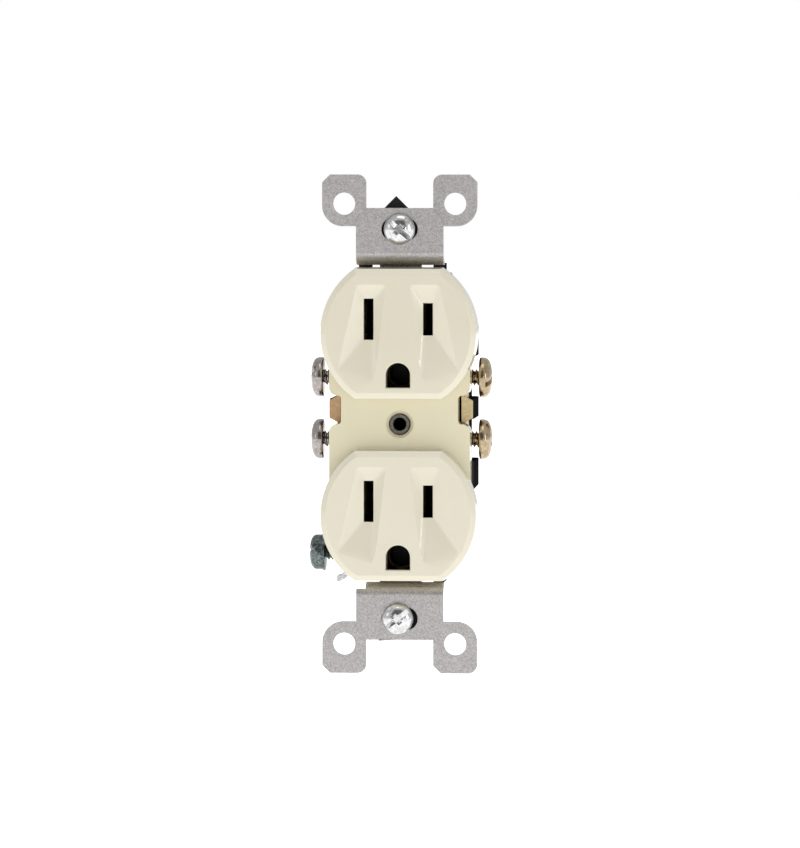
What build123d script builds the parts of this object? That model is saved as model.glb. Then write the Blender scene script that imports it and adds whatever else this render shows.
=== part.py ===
from build123d import *
import os

# Duplex wall outlet, 15 A, with its mounting strap. Millimetres.
# Origin: axis of the wall plate screw hole, on the wall plane that the ears rest against.
# +X right, +Z up, the faces look along -Y and the housing runs back along +Y.

# Overall layout
faceSpacing = 38.9
faceDiameter = 33.8
faceHeight = 28.2
faceFrontY = -6.0
waistFrontY = -1.6
partingY = 4.2
housingBackY = 21.0
boxScrewSpacing = 83.34

# Blade slots, measured from each face's centre
bladeOffsetX = 6.35
bladeOffsetZ = 3.1
slotWidth = 2.1
neutralSlotHeight = 8.8
hotSlotHeight = 6.9
groundBelowBlades = 11.9
groundWidth = 5.2
groundHeight = 5.3

# Strap
strapThick = 1.2
strapLength = 106.7
earSpanX = 33.2
earWidth = 9.4
earHeight = 11.05
earHoleDiameter = 4.77
earHoleSpacingX = 23.8
plateWidth = 18.7
neckWidth = 8.9
runFrontY = 2.0
runWidth = 8.0
padWidth = 13.0
bendInner = 1.5
jogInner = 0.5
flangeFaceZ = 34.0
screwSlotWidth = 7.8
screwSlotHeight = 4.9
bossOuter = 4.2
bossBore = 2.9
bossFrontY = -0.9

# Cover
coverHalfWidth = 15.1
coverWall = 1.8
faceWall = 3.0
rimBevelWidth = 1.15
rimBevelDepth = 0.75
faceDraft = 3.0
notchCentreZ = 3.07
notchHeight = 6.1
notchInnerX = 12.55
notchFillet = 1.7
notchInnerFillet = 0.6
funnelDepth = 1.2
funnelTopZ = 10.5
funnelTopInnerX = 2.6
funnelTopOuterX = 8.8
funnelLowInnerX = 5.0
funnelLowInnerZ = -10.4
funnelLowOuterX = 13.0
funnelLowOuterZ = -7.9
funnelTopFillet = 1.6
funnelLowFillet = 3.0
holeChamfer = 0.25

# Housing
housingHalfWidth = 15.5
housingHalfHeight = 32.0
housingWall = 1.8
shoulderTopZ = 20.3
shoulderLowZ = -13.9
shoulderDrop = 2.3
endHalfWidth = 13.3
endCornerX = 3.8
endCornerZ = 5.0
recessHeight = 9.0
recessFloorX = 14.0
postInnerX = 6.9
postOuterX = 9.1
postEndZ = 34.2

# Terminals
terminalSpacing = 13.3
terminalY = 8.7
terminalHeadDiameter = 8.6
terminalHeadThick = 2.7
silverUndersideX = 17.1
brassUndersideX = 16.5
terminalScrewLength = 7.9
screwShankDiameter = 3.5
groundScrewY = 7.6
groundScrewZ = -27.9
groundHeadDiameter = 8.1
groundUndersideX = 16.6
groundHeadThick = 3.4
groundScrewLength = 7.0
groundPlateX = 11.2
lipEndX = 14.3
lipEndZ = -33.7

# Contacts
contactThick = 0.8
leafThick = 0.6
leafGap = 1.3
sidePlateX = 13.0
linkFrontY = 2.6
linkOuterX = 15.4
linkOuterHeight = 3.7
busY = 13.4
wireHoleDiameter = 2.1
wireHoleX = 10.7
clipThick = 0.4
clipWidth = 4.0
armOuterX = 9.0

# Box screws and retainers
mountHeadDiameter = 6.75
mountHeadThick = 2.3
mountShankLength = 22.0
mountNeckDiameter = 3.1
retainerSide = 9.1
retainerThick = 0.8
retainerY = 2.2
lowerScrewX = -0.4

# Fits
runningClear = 0.05
assemblyClear = 0.2

# Derived
earHoleSpacingZ = strapLength - 12.5
plateEndZ = strapLength / 2 - 7.15
scoreZ = strapLength / 2 - 8.8
halfFace = faceSpacing / 2
faceRadius = faceDiameter / 2
boxScrewZ = boxScrewSpacing / 2
runBackY = runFrontY + strapThick
shankR = screwShankDiameter / 2
mountNeckR = mountNeckDiameter / 2
mountNeckEndY = retainerY + retainerThick + 0.3
tappedR = shankR + runningClear
terminalZ = [notchCentreZ + terminalSpacing / 2, notchCentreZ - terminalSpacing / 2]
faceCentres = [halfFace, -halfFace]
bladeZ = [z + bladeOffsetZ for z in faceCentres]
groundZ = [z - groundBelowBlades for z in bladeZ]
coverInset = 0.4
notchLowZ = notchCentreZ - notchHeight / 2
notchHighZ = notchCentreZ + notchHeight / 2
groundSleeveOuter = 3.0
groundSleeveInner = 2.5
rivetAboveGround = 5.4
assemblyScrewZ = [halfFace + 8.6, -halfFace + 5.4]
assemblyShankR = 1.2
cavityBackY = housingBackY - housingWall
cavityInnerX = 4.4
cavityOuterX = 12.85
endCavityOuterX = 9.2
cavityTopZ = bladeZ[0] + 5.0
cavityBottomZ = bladeZ[1] - 5.0
wireZ = [terminalZ[0] + 7.8, terminalZ[1] - 7.8]


def slab(x0, x1, y0, y1, z0, z1):
    """A block between two corners."""
    return Pos((x0 + x1) / 2, (y0 + y1) / 2, (z0 + z1) / 2) * Box(abs(x1 - x0), abs(y1 - y0), abs(z1 - z0))


def rodY(x, z, radius, y0, y1):
    """A cylinder along Y."""
    return Pos(x, (y0 + y1) / 2, z) * Rot(90, 0, 0) * Cylinder(radius, abs(y1 - y0))


def rodX(y, z, radius, x0, x1):
    """A cylinder along X."""
    return Pos((x0 + x1) / 2, y, z) * Rot(0, 90, 0) * Cylinder(radius, abs(x1 - x0))


def frontPrism(sketch, y0, y1):
    """A sketch drawn as seen from the front, carried from y0 back to y1."""
    backPlane = Plane(origin=(0, y1, 0), x_dir=(1, 0, 0), z_dir=(0, -1, 0))
    return extrude(backPlane * sketch, amount=y1 - y0)


def nearest(sketch, x, z):
    """The sketch's vertex nearest a point."""
    return sketch.vertices().sort_by_distance((x, z, 0))[0]


def rectBetween(x0, x1, z0, z1):
    """A rectangle between two corners of the front view."""
    return Pos((x0 + x1) / 2, (z0 + z1) / 2) * Rectangle(abs(x1 - x0), abs(z1 - z0))


def faceOutline(centreZ, inset):
    """One face's outline: a circle with its top and bottom cut flat."""
    disc = Circle(faceRadius - inset)
    flats = Rectangle(faceDiameter, faceHeight - 2 * inset)
    return Pos(0, centreZ) * (disc & flats)


def groundOutline(centreZ, grow):
    """The ground hole's outline: round above and flat below."""
    half = groundWidth / 2 + grow
    below = groundHeight - groundWidth / 2 + grow
    return Pos(0, centreZ) * (Circle(half) + rectBetween(-half, half, -below, 0))


def funnelCut(side, faceCentre, slotHeight):
    """The sloped mouth round one blade slot: steep above and inside, gentle outwards and below."""
    slotZ = bladeOffsetZ
    near = bladeOffsetX - slotWidth / 2 - 0.1
    far = bladeOffsetX + slotWidth / 2 + 0.1
    top = slotZ + slotHeight / 2 + 0.1
    bottom = slotZ - slotHeight / 2 - 0.1
    floorLine = Polyline((side * near, top), (side * far, top), (side * far, bottom), (side * near, bottom), close=True)
    mouthLine = Polyline(
        (side * funnelTopInnerX, funnelTopZ),
        (side * funnelTopOuterX, funnelTopZ),
        (side * funnelLowOuterX, funnelLowOuterZ),
        (side * funnelLowInnerX, funnelLowInnerZ),
        close=True,
    )
    floorPlane = Plane(origin=(0, faceFrontY + funnelDepth, faceCentre), x_dir=(1, 0, 0), z_dir=(0, -1, 0))
    mouthPlane = Plane(origin=(0, faceFrontY, faceCentre), x_dir=(1, 0, 0), z_dir=(0, -1, 0))
    floorFace = (floorPlane * make_face(floorLine)).face()
    mouthFace = (mouthPlane * make_face(mouthLine)).face()
    funnel = loft([floorFace, mouthFace], ruled=True)
    mitres = [e for e in funnel.edges() if abs(e.center().Y - faceFrontY - funnelDepth / 2) < 0.05]
    lower = [e for e in mitres if e.center().Z < faceCentre]
    funnel = fillet(lower, funnelLowFillet)
    mitres = [e for e in funnel.edges() if abs(e.center().Y - faceFrontY - funnelDepth / 2) < 0.05]
    upper = [e for e in mitres if e.center().Z > faceCentre + bladeOffsetZ and e.length > funnelDepth * 2]
    return fillet(upper, funnelTopFillet)


def buildHead(centre):
    """One face: drafted sides and a softened bevel round its front."""
    backPlane = Plane(origin=(0, waistFrontY + 0.9, 0), x_dir=(1, 0, 0), z_dir=(0, -1, 0))
    head = extrude(backPlane * faceOutline(centre, 0), amount=waistFrontY + 0.9 - faceFrontY, taper=faceDraft)
    front = head.faces().sort_by(Axis.Y)[0]
    head = chamfer(front.edges(), rimBevelWidth, rimBevelDepth, reference=front)
    return head


def buildCover():
    """The ivory cover with its two faces, waist and side skirts."""
    skirt = rectBetween(-coverHalfWidth, coverHalfWidth, -halfFace - 6.5, halfFace + 6.5)
    hollow = rectBetween(
        -coverHalfWidth + coverWall,
        coverHalfWidth - coverWall,
        -halfFace - 6.5 + coverWall,
        halfFace + 6.5 - coverWall,
    )
    for centre in faceCentres:
        skirt = skirt + faceOutline(centre, coverInset)
        hollow = hollow + faceOutline(centre, coverInset + coverWall)
    notches = {}
    for side in (-1, 1):
        notch = rectBetween(side * notchInnerX, side * (coverHalfWidth + 3), notchLowZ, notchHighZ)
        for z in (notchLowZ, notchHighZ):
            notch = fillet(nearest(notch, side * notchInnerX, z), notchInnerFillet)
        notches[side] = notch
        skirt = skirt - notch
        for z in (notchLowZ, notchHighZ):
            skirt = fillet(nearest(skirt, side * coverHalfWidth, z), notchFillet)
    cover = frontPrism(skirt, waistFrontY, partingY)
    for centre in faceCentres:
        cover = cover + buildHead(centre)
    # Hollow from behind, under the waist and up inside each face
    cover = cover - frontPrism(hollow, waistFrontY + 2.0, partingY)
    for centre in faceCentres:
        inside = faceOutline(centre, coverInset + coverWall)
        cover = cover - frontPrism(inside, faceFrontY + faceWall, partingY)
    # Walls closing the hollow behind each side notch
    for side in (-1, 1):
        cover = cover + slab(
            side * (notchInnerX - 1.3),
            side * (coverHalfWidth - coverWall + 0.1),
            waistFrontY + 1.0,
            partingY,
            notchLowZ - 1.2,
            notchHighZ + 1.2,
        )
        cover = cover - frontPrism(notches[side], waistFrontY - 1, partingY + 1)
    # Posts for the assembly screws, and ribs that press the strap home
    for z in assemblyScrewZ:
        cover = cover + rodY(0, z, 2.6, faceFrontY + 1.5, runFrontY)
    for z in (-7.0, 6.5):
        cover = cover + slab(-5.0, 5.0, waistFrontY + 1.0, runFrontY, z - 0.6, z + 0.6)
    # Mouths and openings of the two receptacles
    for centre, blade, ground in zip(faceCentres, bladeZ, groundZ):
        for slotX, slotHeight in ((-bladeOffsetX, neutralSlotHeight), (bladeOffsetX, hotSlotHeight)):
            cover = cover - funnelCut(1 if slotX > 0 else -1, centre, slotHeight)
            cover = cover - slab(
                slotX - slotWidth / 2,
                slotX + slotWidth / 2,
                faceFrontY - 1,
                0,
                blade - slotHeight / 2,
                blade + slotHeight / 2,
            )
        cover = cover - frontPrism(groundOutline(ground, 0), faceFrontY - 1, 0)
        lead = Plane(origin=(0, faceFrontY + holeChamfer, 0), x_dir=(1, 0, 0), z_dir=(0, -1, 0))
        cover = cover - extrude(lead * groundOutline(ground, 0), amount=holeChamfer + 0.05, taper=-45)
    for z in assemblyScrewZ:
        cover = cover - rodY(0, z, assemblyShankR, faceFrontY + 3.2, partingY)
    # Funnel and clearance bore for the wall plate screw
    mouth = Pos(0, waistFrontY + 0.5, 0) * Rot(90, 0, 0) * Cone(bossOuter / 2 + assemblyClear, 3.05, 1.02)
    cover = cover - mouth
    cover = cover - rodY(0, 0, bossOuter / 2 + assemblyClear, waistFrontY, partingY)
    # Way out for the strap's neck at each end and for the ground terminal tab
    for side in (-1, 1):
        cover = cover - slab(
            -neckWidth / 2 - assemblyClear,
            neckWidth / 2 + assemblyClear,
            runFrontY - assemblyClear,
            partingY + 1,
            side * 30.0,
            side * 34.5,
        )
    cover = cover - slab(-20, -8.6, runFrontY - assemblyClear, partingY + 1, -34.5, groundScrewZ + 5.2)
    return cover


def buildHousing():
    """The black rear housing with its pockets, recesses and posts."""
    half = []
    half.append((endHalfWidth - endCornerX, housingHalfHeight))
    half.append((endHalfWidth, housingHalfHeight - endCornerZ))
    half.append((endHalfWidth, shoulderTopZ + shoulderDrop))
    half.append((housingHalfWidth, shoulderTopZ))
    half.append((housingHalfWidth, shoulderLowZ))
    half.append((endHalfWidth, shoulderLowZ - shoulderDrop))
    half.append((endHalfWidth, -housingHalfHeight + endCornerZ))
    half.append((endHalfWidth - endCornerX, -housingHalfHeight))
    outline = make_face(Polyline(half + [(-x, z) for x, z in reversed(half)], close=True))
    housing = frontPrism(outline, partingY, housingBackY)
    backRim = housing.edges().filter_by_position(Axis.Y, housingBackY - 0.01, housingBackY + 0.01)
    housing = chamfer(backRim, 0.8)
    # Seat that the strap rests on
    for z0, z1 in ((-21.0, -9.0), (-8.0, 4.6), (17.0, 29.5)):
        housing = housing + slab(-3.9, 3.9, runBackY, partingY + 0.5, z0, z1)
    # Corner posts beside the strap's neck; the lower left one gives way to the ground tab
    for x, z in ((-1, 1), (1, 1), (1, -1)):
        housing = housing + slab(
            x * postInnerX, x * postOuterX, partingY, partingY + 8.5, z * (housingHalfHeight - 1), z * postEndZ
        )
        housing = housing + slab(
            x * postInnerX, x * postOuterX, runBackY + 0.3, partingY + 0.1, z * 33.4, z * postEndZ
        )
    for side in (-1, 1):
        # Open recess beside each terminal screw, right through from front to back
        for z in terminalZ:
            housing = housing - slab(
                side * recessFloorX,
                side * (housingHalfWidth + 2),
                partingY - 1,
                housingBackY + 1,
                z - recessHeight / 2,
                z + recessHeight / 2,
            )
        # Contact pocket
        housing = housing - slab(
            side * cavityInnerX, side * cavityOuterX, partingY - 1, cavityBackY, shoulderLowZ, shoulderTopZ
        )
        housing = housing - slab(
            side * cavityInnerX, side * endCavityOuterX, partingY - 1, cavityBackY, cavityBottomZ, cavityTopZ
        )
        housing = housing - slab(
            side * (cavityOuterX - 1),
            side * (sidePlateX + contactThick + assemblyClear),
            partingY - 1,
            busY + contactThick + assemblyClear,
            terminalZ[1] - 4.2,
            terminalZ[0] + 4.2,
        )
        # The link tab reaches out over the barrier between the two recesses
        housing = housing - slab(
            side * recessFloorX, side * (linkOuterX + 0.3), partingY - 1, partingY + 0.5, notchLowZ, notchHighZ
        )
        for z in wireZ:
            housing = housing - rodY(side * wireHoleX, z, wireHoleDiameter / 2, cavityBackY - 1, housingBackY + 1)
            # Release slot beside each push-in hole
            housing = housing - slab(
                side * (wireHoleX + 1.3),
                side * (wireHoleX + 2.1),
                cavityBackY - 1,
                housingBackY + 1,
                z - 1.6,
                z + 1.6,
            )
    # Pockets for the ground contacts and their rivets
    for z in groundZ:
        pocketEnd = z - groundSleeveOuter - 0.15
        housing = housing - slab(-3.7, 3.7, runBackY - 1, 12.6, pocketEnd, z + 7.6)
    # Room for the wall plate screw
    housing = housing - rodY(0, 0, 2.3, runBackY - 1, 17.0)
    # Corner left open for the ground terminal, and room for its screw
    cornerTop = groundScrewZ + 5.0
    housing = housing - slab(-20, -groundPlateX + 0.5, partingY - 2, housingBackY + 1, -40, cornerTop)
    housing = housing - slab(-20, -postInnerX + 0.3, partingY - 2, partingY + 9.2, -40, cornerTop)
    housing = housing - rodX(groundScrewY, groundScrewZ, shankR + 0.5, -12, -5.2)
    # Assembly screw holes, counterbored from behind
    for z in assemblyScrewZ:
        housing = housing - rodY(0, z, assemblyShankR + assemblyClear, 0, housingBackY + 1)
        housing = housing - rodY(0, z, 2.7, housingBackY - 2.0, housingBackY + 1)
    return housing


def strapOutline():
    """The strap as seen from the front, without its holes."""
    inner = runWidth / 2
    outline = rectBetween(-inner, inner, -33.0, 33.0)
    for side in (-1, 1):
        outline = outline + rectBetween(-neckWidth / 2, neckWidth / 2, side * 30.5, side * (flangeFaceZ + 0.5))
        outline = outline + rectBetween(-plateWidth / 2, plateWidth / 2, side * flangeFaceZ, side * plateEndZ)
    outline = outline + rectBetween(-padWidth / 2, padWidth / 2, groundZ[1] - 2.9, groundZ[1] + 4.2)
    outline = outline + rectBetween(-padWidth / 2, padWidth / 2, -9.0, groundZ[0] + 4.0)
    for sideX in (-1, 1):
        for sideZ in (-1, 1):
            outline = outline + earOutline(sideX, sideZ)
    return outline


def earOutline(sideX, sideZ):
    """One plaster ear; the sheared corners differ from ear to ear."""
    outer = earSpanX / 2
    inner = outer - earWidth
    end = strapLength / 2
    root = end - earHeight
    ear = rectBetween(sideX * inner, sideX * outer, sideZ * root, sideZ * end)
    ear = fillet(nearest(ear, sideX * outer, sideZ * root), 4.4)
    if sideZ > 0:
        chamfered = sideX * outer
        rounded = sideX * inner
    else:
        chamfered = min(sideX * outer, sideX * inner)
        rounded = max(sideX * outer, sideX * inner)
    ear = chamfer(nearest(ear, chamfered, sideZ * end), 1.65)
    ear = fillet(nearest(ear, rounded, sideZ * end), 1.9)
    return ear


def buildStrap():
    """The bent steel strap with its ears, tapped boss and ground terminal tab."""
    plateMid = -strapThick / 2
    runMid = runFrontY + strapThick / 2
    bendR = bendInner + strapThick / 2
    jogR = jogInner + strapThick / 2
    bendY = plateMid + bendR
    bendZ = flangeFaceZ + strapThick + bendInner
    jogZ = flangeFaceZ - jogInner
    flat = runMid - jogR - bendY
    edges = []
    edges.append(Line((plateMid, strapLength / 2), (plateMid, bendZ)))
    edges.append(CenterArc((bendY, bendZ), bendR, 180, 90))
    if flat > 0.001:
        edges.append(Line((bendY, bendZ - bendR), (runMid - jogR, jogZ + jogR)))
    edges.append(CenterArc((runMid - jogR, jogZ), jogR, 90, -90))
    edges.append(Line((runMid, jogZ), (runMid, -jogZ)))
    edges.append(CenterArc((runMid - jogR, -jogZ), jogR, 0, -90))
    if flat > 0.001:
        edges.append(Line((runMid - jogR, -jogZ - jogR), (bendY, -bendZ + bendR)))
    edges.append(CenterArc((bendY, -bendZ), bendR, 90, 90))
    edges.append(Line((plateMid, -bendZ), (plateMid, -strapLength / 2)))
    section = trace(Curve() + edges, strapThick)
    sidePlane = Plane(origin=(-20, 0, 0), x_dir=(0, 1, 0), z_dir=(1, 0, 0))
    strap = extrude(sidePlane * section, amount=40)
    strap = strap & frontPrism(strapOutline(), -3, 6)
    # Extruded boss for the wall plate screw
    strap = strap + rodY(0, 0, bossOuter / 2, bossFrontY, runFrontY + 0.2)
    strap = strap - rodY(0, 0, bossBore / 2, bossFrontY - 1, runBackY + 1)
    # Box screw slots and ear holes
    for z in (boxScrewZ, -boxScrewZ):
        slot = Pos(0, z) * SlotOverall(screwSlotWidth, screwSlotHeight)
        strap = strap - frontPrism(slot, -3, 3)
    for x in (-earHoleSpacingX / 2, earHoleSpacingX / 2):
        for z in (-earHoleSpacingZ / 2, earHoleSpacingZ / 2):
            strap = strap - rodY(x, z, earHoleDiameter / 2, -3, 2)
    # Score lines that let the ears be snapped off
    for sideX in (-1, 1):
        for sideZ in (-1, 1):
            groove = Pos(sideX * 8.55, -strapThick, sideZ * scoreZ) * Rot(0, sideX * sideZ * -32.0, 0)
            strap = strap - groove * Box(0.35, 0.3, 4.2)
    # Small notch at the lower plate's upper left corner
    strap = strap - slab(-plateWidth / 2 - 1, -plateWidth / 2 + 2.0, -3, 5, -35.4, -30)
    # Ground holes, rivet holes and assembly screw holes
    for z in groundZ:
        strap = strap - frontPrism(groundOutline(z, 0.3), 0, 6)
        strap = strap - rodY(0, z + rivetAboveGround, 0.9, 0, 6)
    for z in assemblyScrewZ:
        strap = strap - rodY(0, z, assemblyShankR + assemblyClear, 0, 6)
    # Ground terminal tab: out to the left, back, and curled out at its lower edge
    tabTop = groundZ[1] + 4.2
    plateBottom = lipEndZ + 2.4
    plateOut = groundPlateX + strapThick
    strap = strap + slab(-plateOut + 1.5, -padWidth / 2 + 1, runFrontY, runBackY, groundZ[1] - 2.8, tabTop)
    corner = Pos(-plateOut + 1.5, runFrontY + 1.5) * (Circle(1.5) - Circle(0.3))
    corner = corner & rectBetween(-plateOut, -plateOut + 1.5, runFrontY, runFrontY + 1.5)
    strap = strap + Pos(0, 0, groundZ[1] - 2.8) * extrude(corner, amount=tabTop - groundZ[1] + 2.8)
    strap = strap + slab(-plateOut, -groundPlateX, runFrontY + 1.5, 12.4, plateBottom, tabTop)
    curlR = 1.6
    curl = Pos(-plateOut - curlR, plateBottom) * (Circle(curlR + strapThick) - Circle(curlR))
    curl = curl & rectBetween(-plateOut - curlR, -groundPlateX, plateBottom - 3, plateBottom)
    lip = frontPrism(curl, 5.0, 11.4)
    strap = strap + lip
    strap = strap - rodX(groundScrewY, groundScrewZ, tappedR, -15, -9)
    return strap


def buildTerminalScrew(side, z):
    """A binding head screw along X with a domed head."""
    underside = silverUndersideX if side < 0 else brassUndersideX
    outerX = side * (underside + terminalHeadThick)
    head = rodX(terminalY, z, terminalHeadDiameter / 2, side * underside, outerX)
    rim = head.edges().filter_by_position(Axis.X, outerX - 0.01, outerX + 0.01)
    head = fillet(rim, 1.5)
    slotX = outerX - side * 1.2
    head = head - slab(slotX, outerX + side, terminalY - 5, terminalY + 5, z - 0.6, z + 0.6)
    tip = underside - terminalScrewLength
    return head + rodX(terminalY, z, shankR, side * tip, side * (underside + 0.3))


def buildGroundScrew():
    """The slotted hex washer head ground screw along X."""
    outer = groundUndersideX + groundHeadThick
    washer = rodX(groundScrewY, groundScrewZ, groundHeadDiameter / 2, -groundUndersideX - 1.0, -groundUndersideX)
    hexPlane = Plane(origin=(-outer, groundScrewY, groundScrewZ), x_dir=(0, 1, 0), z_dir=(1, 0, 0))
    hexHead = extrude(hexPlane * RegularPolygon(3.6, 6), amount=groundHeadThick - 0.5)
    screw = washer + hexHead
    screw = screw - slab(-outer - 1, -outer + 1.2, groundScrewY - 5, groundScrewY + 5,
                         groundScrewZ - 0.6, groundScrewZ + 0.6)
    tip = groundUndersideX - groundScrewLength
    return screw + rodX(groundScrewY, groundScrewZ, shankR, -groundUndersideX - 0.3, -tip)


def buildMountingScrew(x, z):
    """A box screw with a domed combination head, resting on the strap's slot."""
    seat = -strapThick
    head = rodY(x, z, mountHeadDiameter / 2, seat - mountHeadThick, seat)
    rim = head.edges().filter_by_position(Axis.Y, seat - mountHeadThick - 0.01, seat - mountHeadThick + 0.01)
    head = fillet(rim, 1.6)
    turn = -45 if z > 0 else 45
    recess = Pos(x, seat - mountHeadThick, z) * Rot(0, turn, 0)
    head = head - recess * Box(5.6, 2.0, 1.0)
    head = head - recess * Box(1.0, 2.6, 3.4)
    shank = rodY(x, z, shankR, mountNeckEndY, seat + mountShankLength)
    return head + shank + rodY(x, z, mountNeckR, seat - 0.2, mountNeckEndY)


def buildRetainer(x, z, centreX, centreZ, turn):
    """The loose square that keeps a box screw in the strap."""
    square = Pos(centreX, centreZ) * Rot(0, 0, turn) * Rectangle(retainerSide, retainerSide)
    plate = frontPrism(square, retainerY, retainerY + retainerThick)
    return plate - rodY(x, z, mountNeckR + runningClear, 0, 5)


def buildContact(side, slotHeight):
    """One brass contact strip: side plate, break-off link, bus and blade leaves."""
    top = terminalZ[0] + 4.0
    bottom = terminalZ[1] - 4.0
    plateOut = sidePlateX + contactThick
    strip = slab(side * sidePlateX, side * plateOut, partingY + 0.3, busY + contactThick, bottom, top)
    # Neck of the link, then the link itself, tapering outwards
    strip = strip + slab(
        side * sidePlateX, side * plateOut, linkFrontY, partingY + 0.5, notchLowZ + 0.25, notchHighZ - 0.25
    )
    halfIn = notchHeight / 2 - 0.25
    link = Polyline(
        (side * sidePlateX, notchCentreZ - halfIn),
        (side * (sidePlateX + 0.7), notchCentreZ - halfIn),
        (side * linkOuterX, notchCentreZ - linkOuterHeight / 2),
        (side * linkOuterX, notchCentreZ + linkOuterHeight / 2),
        (side * (sidePlateX + 0.7), notchCentreZ + halfIn),
        (side * sidePlateX, notchCentreZ + halfIn),
        close=True,
    )
    strip = strip + frontPrism(make_face(link), linkFrontY, linkFrontY + contactThick)
    # Gap that divides the plate once the link is broken off
    strip = strip - slab(
        side * (sidePlateX - 1), side * (plateOut + 1), partingY + 1.6, busY + 2, notchCentreZ - 0.6, notchCentreZ + 0.6
    )
    for z in terminalZ:
        strip = strip - rodX(terminalY, z, tappedR, side * 10, side * 16)
    # Bus behind each half, with a divided middle
    for z0, z1, arm0, arm1 in (
        (notchCentreZ + 0.6, top, terminalZ[0] - 2, bladeZ[0] + 3.6),
        (bottom, notchCentreZ - 0.6, bladeZ[1] - 3.6, terminalZ[1] + 2),
    ):
        strip = strip + slab(side * 8.6, side * plateOut, busY, busY + contactThick, z0, z1)
        strip = strip + slab(side * 4.85, side * armOuterX, busY, busY + contactThick, arm0, arm1)
    # Leaves that grip each blade, bowed towards each other
    for z in bladeZ:
        for sign in (-1, 1):
            near = bladeOffsetX + sign * leafGap / 2
            far = near + sign * leafThick
            leaf = Polyline(
                (side * (near + sign * 0.35), busY + 0.2),
                (side * (near + sign * 0.05), busY - 4.0),
                (side * (near + sign * 0.55), busY - 7.2),
                (side * (far + sign * 0.55), busY - 7.2),
                (side * (far + sign * 0.05), busY - 4.0),
                (side * (far + sign * 0.35), busY + 0.2),
                close=True,
            )
            strip = strip + Pos(0, 0, z - 3.4) * extrude(make_face(leaf), amount=6.8)
    # Tabs that the push-in wires press against
    for z in wireZ:
        tabOuterX = armOuterX + contactThick
        strip = strip + slab(side * 8.4, side * tabOuterX, busY, busY + contactThick, z - 2.2, z + 2.2)
        strip = strip + slab(side * armOuterX, side * tabOuterX, busY, busY + 5.0, z - 2.2, z + 2.2)
    return strip


def buildWireClip(side, z):
    """A bent spring clip that bites a pushed-in wire."""
    path = Polyline(
        (side * 12.5, busY + 1.4),
        (side * 12.5, busY + 5.4),
        (side * 12.0, busY + 5.4),
        (side * 11.75, busY + 2.0),
    )
    strip = trace(path, clipThick)
    return Pos(0, 0, z - clipWidth / 2) * extrude(strip, amount=clipWidth)


def buildGroundContact(z):
    """A split sleeve on a flange, riveted behind the strap."""
    flangeEnd = z - groundSleeveOuter
    flange = slab(-3.3, 3.3, runBackY, runBackY + leafThick, flangeEnd, z + rivetAboveGround + 1.9)
    sleeve = rodY(0, z, groundSleeveOuter, runBackY, 11.6) - rodY(0, z, groundSleeveInner, runBackY - 1, 13)
    contact = flange + sleeve
    contact = contact - frontPrism(groundOutline(z, 0.3), runBackY - 1, runBackY + leafThick)
    contact = contact - rodY(0, z, groundSleeveInner, 0, 13)
    for turn in (0, 120, 240):
        slit = Pos(0, 0, z) * Rot(0, turn, 0) * Pos(0, 8.4, -3) * Box(1.0, 7.4, 2.2)
        contact = contact - slit
    return contact - rodY(0, z + rivetAboveGround, 0.9, 0, 6)


def buildRivet(z):
    """One rivet joining a ground contact to the strap."""
    centre = z + rivetAboveGround
    rivet = rodY(0, centre, 0.88, runFrontY - 0.1, runBackY + leafThick + 0.1)
    rivet = rivet + rodY(0, centre, 1.5, runFrontY - 0.7, runFrontY)
    return rivet + rodY(0, centre, 1.5, runBackY + leafThick, runBackY + leafThick + 0.6)


def buildAssemblyScrew(z):
    """A screw from behind that holds cover, strap and housing together."""
    seat = housingBackY - 2.0
    shank = rodY(0, z, assemblyShankR - 0.02, faceFrontY + 3.6, seat + 0.1)
    head = rodY(0, z, 2.3, seat, seat + 1.4)
    head = head - slab(-0.4, 0.4, seat + 0.8, seat + 2, z - 3, z + 3)
    return shank + head


os.makedirs("parts", exist_ok=True)


def write(shape, name):
    """Write one node's solids."""
    export_step(shape, "parts/" + name + ".step")


write(buildCover(), "face_cover")
write(buildHousing(), "rear_housing")
write(buildStrap(), "mounting_strap")
write(buildTerminalScrew(-1, terminalZ[0]), "silver_screw_upper")
write(buildTerminalScrew(-1, terminalZ[1]), "silver_screw_lower")
write(buildTerminalScrew(1, terminalZ[0]), "brass_screw_upper")
write(buildTerminalScrew(1, terminalZ[1]), "brass_screw_lower")
write(buildGroundScrew(), "ground_screw")
write(buildMountingScrew(0, boxScrewZ), "mounting_screw_upper")
write(buildMountingScrew(lowerScrewX, -boxScrewZ), "mounting_screw_lower")
write(buildRetainer(0, boxScrewZ, -1.0, boxScrewZ + 0.6, 45), "screw_retainer_upper")
write(buildRetainer(lowerScrewX, -boxScrewZ, lowerScrewX - 0.1, -boxScrewZ - 0.2, 3), "screw_retainer_lower")
write(buildContact(1, hotSlotHeight), "hot_contact_strip")
write(buildContact(-1, neutralSlotHeight), "neutral_contact_strip")
write(buildWireClip(1, wireZ[0]), "hot_wire_clip_upper")
write(buildWireClip(1, wireZ[1]), "hot_wire_clip_lower")
write(buildWireClip(-1, wireZ[0]), "neutral_wire_clip_upper")
write(buildWireClip(-1, wireZ[1]), "neutral_wire_clip_lower")
write(buildGroundContact(groundZ[0]), "ground_contact_upper")
write(buildGroundContact(groundZ[1]), "ground_contact_lower")
write(Compound(children=[buildRivet(z) for z in groundZ]), "ground_contact_rivets")
write(Compound(children=[buildAssemblyScrew(z) for z in assemblyScrewZ]), "assembly_screws")
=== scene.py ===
import math

import bmesh
import bpy
from mathutils import Matrix, Vector


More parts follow.
